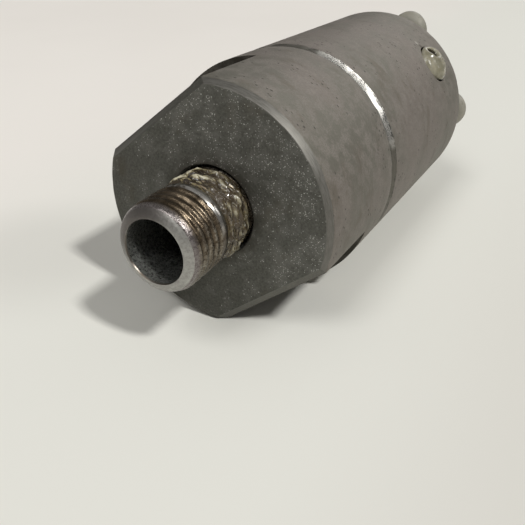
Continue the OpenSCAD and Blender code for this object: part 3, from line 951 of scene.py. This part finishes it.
def lobe_reach(clock):
    """How far the nearest grip lobe stands out of the cap's wall at a clock angle, and which it is."""
    pitch = 2 * math.pi / LOBES
    turn = (clock - LOBE_CLOCK + pitch / 2) / pitch
    off = (turn % 1 - 0.5) * pitch
    which = math.floor(turn) % LOBES
    across = LOBE_CENTRE_R * math.sin(off)
    if abs(across) >= LOBE_R:
        return 0.0, which
    reach = LOBE_CENTRE_R * math.cos(off) + math.sqrt(LOBE_R ** 2 - across ** 2) - CAP_WALL_R
    return max(0.0, reach), which


def cap_wall(clock, steps=26):
    """Outside of the cap at one clock angle: a wall that swells into a lobe."""
    near = [lobe_reach(clock + math.radians(0.7 * k)) for k in (-2, -1, 0, 1, 2)]
    stretch, shift = LOBE_WEAR[near[2][1]]
    reach = sum(r for r, _ in near) / 5 * stretch
    start, end = LOBE_Y
    rows = []
    for s in range(steps + 1):
        u = -math.cos(math.pi * s / steps)
        bulge = (1 - abs(u) ** 2.4) ** (1 / 2.4)
        place_y = start + (end - start) * (u + 1) / 2 + shift * min(1.0, reach)
        uneven = 1 + 0.06 * noise.noise(on_circle(3.0, place_y * 0.5, clock))
        rows.append((CAP_WALL_R + reach * bulge * uneven, place_y))
    return rows


def make_end_cap(looks):
    """Moulded cap: grooved spigot, lobed wall, and a rear wall with a dished, slotted grille."""
    outside, shade_look = looks
    spigot_r = SHELL_BORE_R - 0.05
    rear = [
        (CAP_WALL_R, CAP_END - 0.75), (CAP_WALL_R - 0.08, CAP_END - 0.40),
        (CAP_WALL_R - 0.30, CAP_END - 0.12), (CAP_WALL_R - 0.65, CAP_END),
        (CAP_WALL_R - 1.6, CAP_END), (CAP_WALL_R - 2.6, CAP_END), (CAP_WALL_R - 2.9, CAP_END - 0.12),
        (CAP_WALL_R - 3.1, CAP_END - 0.45), (CAP_WALL_R - 3.5, CAP_END - 0.55),
        (10.0, CAP_END - 0.55), (7.5, CAP_END - 0.55), (5.0, CAP_END - 0.55), (3.4, CAP_END - 0.55),
        (3.0, CAP_END - 0.40), (2.8, CAP_END - 0.12), (2.4, CAP_END), (1.2, CAP_END), (0.0, CAP_END),
    ]
    grille_y = CAP_END - 2.0
    clip_r, clip_start, clip_end = CLIP_GROOVE
    seal_r, seal_start, seal_end = CAP_SEAL_GROOVE
    inner = [
        (0.0, grille_y), (4.0, grille_y), (8.0, grille_y), (CAP_BORE_R, grille_y),
        (CAP_BORE_R, clip_end), (clip_r, clip_end), (clip_r, clip_start), (CAP_BORE_R, clip_start),
        (CAP_BORE_R, 64.0), (CAP_BORE_R, 59.6), (CAP_BORE_R, CAP_START + 0.2),
        (CAP_BORE_R + 0.2, CAP_START), (spigot_r - 0.6, CAP_START), (spigot_r, CAP_START + 0.6),
        (spigot_r, 59.2), (spigot_r, seal_start), (seal_r, seal_start), (seal_r, seal_end),
        (spigot_r, seal_end),
        (spigot_r, BODY_END + CAP_GAP), (CAP_WALL_R - 0.15, BODY_END + CAP_GAP),
        (CAP_WALL_R, BODY_END + CAP_GAP + 0.15),
    ]
    turns = 360
    points, faces = [], []
    for i in range(turns):
        clock = 2 * math.pi * i / turns
        for r, y in [*cap_wall(clock), *rear, *inner]:
            points.append(on_circle(r, y, clock))
    count = len(points) // turns
    centre_gap = len(cap_wall(0.0)) + len(rear) - 1
    for i in range(turns):
        k = (i + 1) % turns
        for j in range(count):
            if j == centre_gap:
                continue
            m = (j + 1) % count
            faces.append((i * count + j, i * count + m, k * count + m, k * count + j))
    cap = build("end_cap_moulding", points, faces, [outside, shade_look], None, 32)
    cut(cap, slot_cutter(shade_look))
    shade(cap.data, 32)
    return place(cap, "cap_plastic", "end_cap")


def slot_cutter(look):
    """All exhaust slots as one set of separate prisms with round ends."""
    inner_r, outer_r, half = 3.9, 11.3, 1.0
    arc = [(half * math.sin(a), half * (1 - math.cos(a))) for a in (math.pi / 2 * s / 4 for s in range(5))]
    ends = [(outer_r - half + w, half - d) for w, d in arc]
    outline = [(r, w) for r, w in ends] + [(r, -w) for r, w in reversed(ends[:-1])]
    outline += [(inner_r + half - w, -(half - d)) for w, d in arc]
    outline += [(inner_r + half - w, half - d) for w, d in reversed(arc[:-1])]
    points, faces = [], []
    for n in range(GRILLE_SLOTS):
        clock = 2 * math.pi * n / GRILLE_SLOTS
        out, side = on_circle(1, 0, clock), on_circle(1, 0, clock + math.pi / 2)
        start, count = len(points), len(outline)
        for y in (CAP_END - 3.2, CAP_END + 1.0):
            points += [out * r + side * w + Vector((0, y, 0)) for r, w in outline]
        faces += [(start + j, start + (j + 1) % count, start + count + (j + 1) % count, start + count + j)
                  for j in range(count)]
        faces += [tuple(range(start, start + count)), tuple(range(start + count, start + 2 * count))]
    return build("slot_cutter", points, faces, [look])


def make_wire_ring(name, ring_r, wire_r, y, look):
    """Round seal: a circle of one radius carried round the axis at another."""
    turns, sides = 160, 20
    points, faces = [], []
    for i in range(turns):
        clock = 2 * math.pi * i / turns
        for s in range(sides):
            a = 2 * math.pi * s / sides
            points.append(on_circle(ring_r + wire_r * math.cos(a), y + wire_r * math.sin(a), clock))
    for i in range(turns):
        for s in range(sides):
            n, k = (s + 1) % sides, (i + 1) % turns
            faces.append((i * sides + s, i * sides + n, k * sides + n, k * sides + s))
    return build(name, points, faces, [look], None, 60)


# ---------------------------------------------------------------- assembly

side_look = housing_side()
dark_look = bore_dark()
make_front_body([side_look, housing_face(), housing_edge(), dark_look, flat_steel()])
make_rear_shell([side_look, seam_bevel_steel(), dark_look])
make_inlet_nipple([thread_steel(), rim_steel(), collar_steel(), dark_look])
make_sealant(sealant_skin())
make_lock_sealant([compound_skin(), compound_hollow()])
make_end_cap([cap_nylon(), cap_shadow()])
rubber = seal_rubber()
place(make_wire_ring("body_seal_ring", 15.8, 0.78, SEAM + 0.95, rubber), "seal_rubber", "body_seal")
place(make_wire_ring("cap_seal_ring", 14.575, 0.8, 63.95, rubber), "seal_rubber", "cap_seal")

CARRIED_OVER = {
    "sintered_bronze": (sintered_bronze(), ["inlet_strainer", "exhaust_disc"]),
    "stainless": (rolled_stainless(), [
        "diffuser_tube", "tube_plug", "front_baffle", "middle_baffle", "rear_baffle",
        "front_spacer", "rear_spacer", "spring_seat"]),
    "felt": (needled_felt(), ["front_absorber", "middle_absorber", "rear_absorber"]),
    "spring_steel": (dark_spring_steel(), ["stack_spring", "disc_clip", "cap_lock_screw"]),
}
for look, names in CARRIED_OVER.values():
    for name in names:
        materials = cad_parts[name].data.materials
        materials.clear()
        materials.append(look)


# ---------------------------------------------------------------- floor, light and camera

def make_floor(look):
    """Pale table top that the housing lies on."""
    reach = 1500.0
    points = [Vector((sx * reach, sy * reach, -BODY_R))
              for sx, sy in ((-1, -1), (1, -1), (1, 1), (-1, 1))]
    floor = build("table_top", points, [(0, 1, 2, 3)], [look])


def area_light(name, towards, away, size, watts, colour, on_floor=True):
    """Soft panel of light that stands in a direction from the muffler and faces its middle."""
    data = bpy.data.lights.new(name, "AREA")
    data.shape = "RECTANGLE"
    data.size, data.size_y = size
    data.energy = watts
    data.color = colour
    light = bpy.data.objects.new(name, data)
    light.visible_diffuse = on_floor
    middle = Vector((0, 0.03, 0))
    light.location = middle + Vector(towards).normalized() * away
    aim = middle - light.location
    light.rotation_euler = aim.to_track_quat("-Z", "Y").to_euler()
    bpy.context.scene.collection.objects.link(light)


def make_world():
    """Dim room under a paler ceiling."""
    world = bpy.data.worlds.new("soft_room")
    world.use_nodes = True
    tree = world.node_tree
    background = tree.nodes["Background"]
    background.inputs["Color"].default_value = (0.90, 0.88, 0.85, 1)
    parts = tree.nodes.new("ShaderNodeSeparateXYZ")
    tree.links.new(tree.nodes.new("ShaderNodeTexCoord").outputs["Generated"], parts.inputs[0])
    ceiling = tree.nodes.new("ShaderNodeMapRange")
    low, high, dim, pale = 0.55, 0.85, 0.20, 0.28
    for index, value in enumerate((low, high, dim, pale), start=1):
        ceiling.inputs[index].default_value = value
    tree.links.new(parts.outputs["Z"], ceiling.inputs[0])
    tree.links.new(ceiling.outputs[0], background.inputs["Strength"])
    bpy.context.scene.world = world


def make_camera():
    """Camera at the angle and distance of the reference view."""
    heading, pitch = (math.radians(a) for a in (29.0, -29.12))
    data = bpy.data.cameras.new("camera")
    data.sensor_width = 36
    data.lens = 45.0
    data.clip_start = 0.005
    camera = bpy.data.objects.new("camera", data)
    turn = Matrix.Rotation(heading, 4, "Z") @ Matrix.Rotation(math.pi / 2 + pitch, 4, "X")
    camera.matrix_world = Matrix.Translation(Vector((49.33, -73.44, 40.35)) * MM) @ turn
    bpy.context.scene.collection.objects.link(camera)
    bpy.context.scene.camera = camera


make_floor(table_top())
area_light("key_right", (0.61, -0.23, 0.76), 8.0, (0.72, 0.72), 405.0, (1.0, 0.995, 0.97))
area_light("fill_front", (-0.02, -0.57, 0.82), 6.0, (2.10, 2.10), 101.0, (1.0, 0.995, 0.98))
area_light("window_behind", (0.34, 0.73, 0.59), 5.0, (7.4, 1.90), 110.0, (1.0, 0.985, 0.96), on_floor=False)
make_world()
make_camera()
bpy.context.scene.view_settings.view_transform = "Standard"
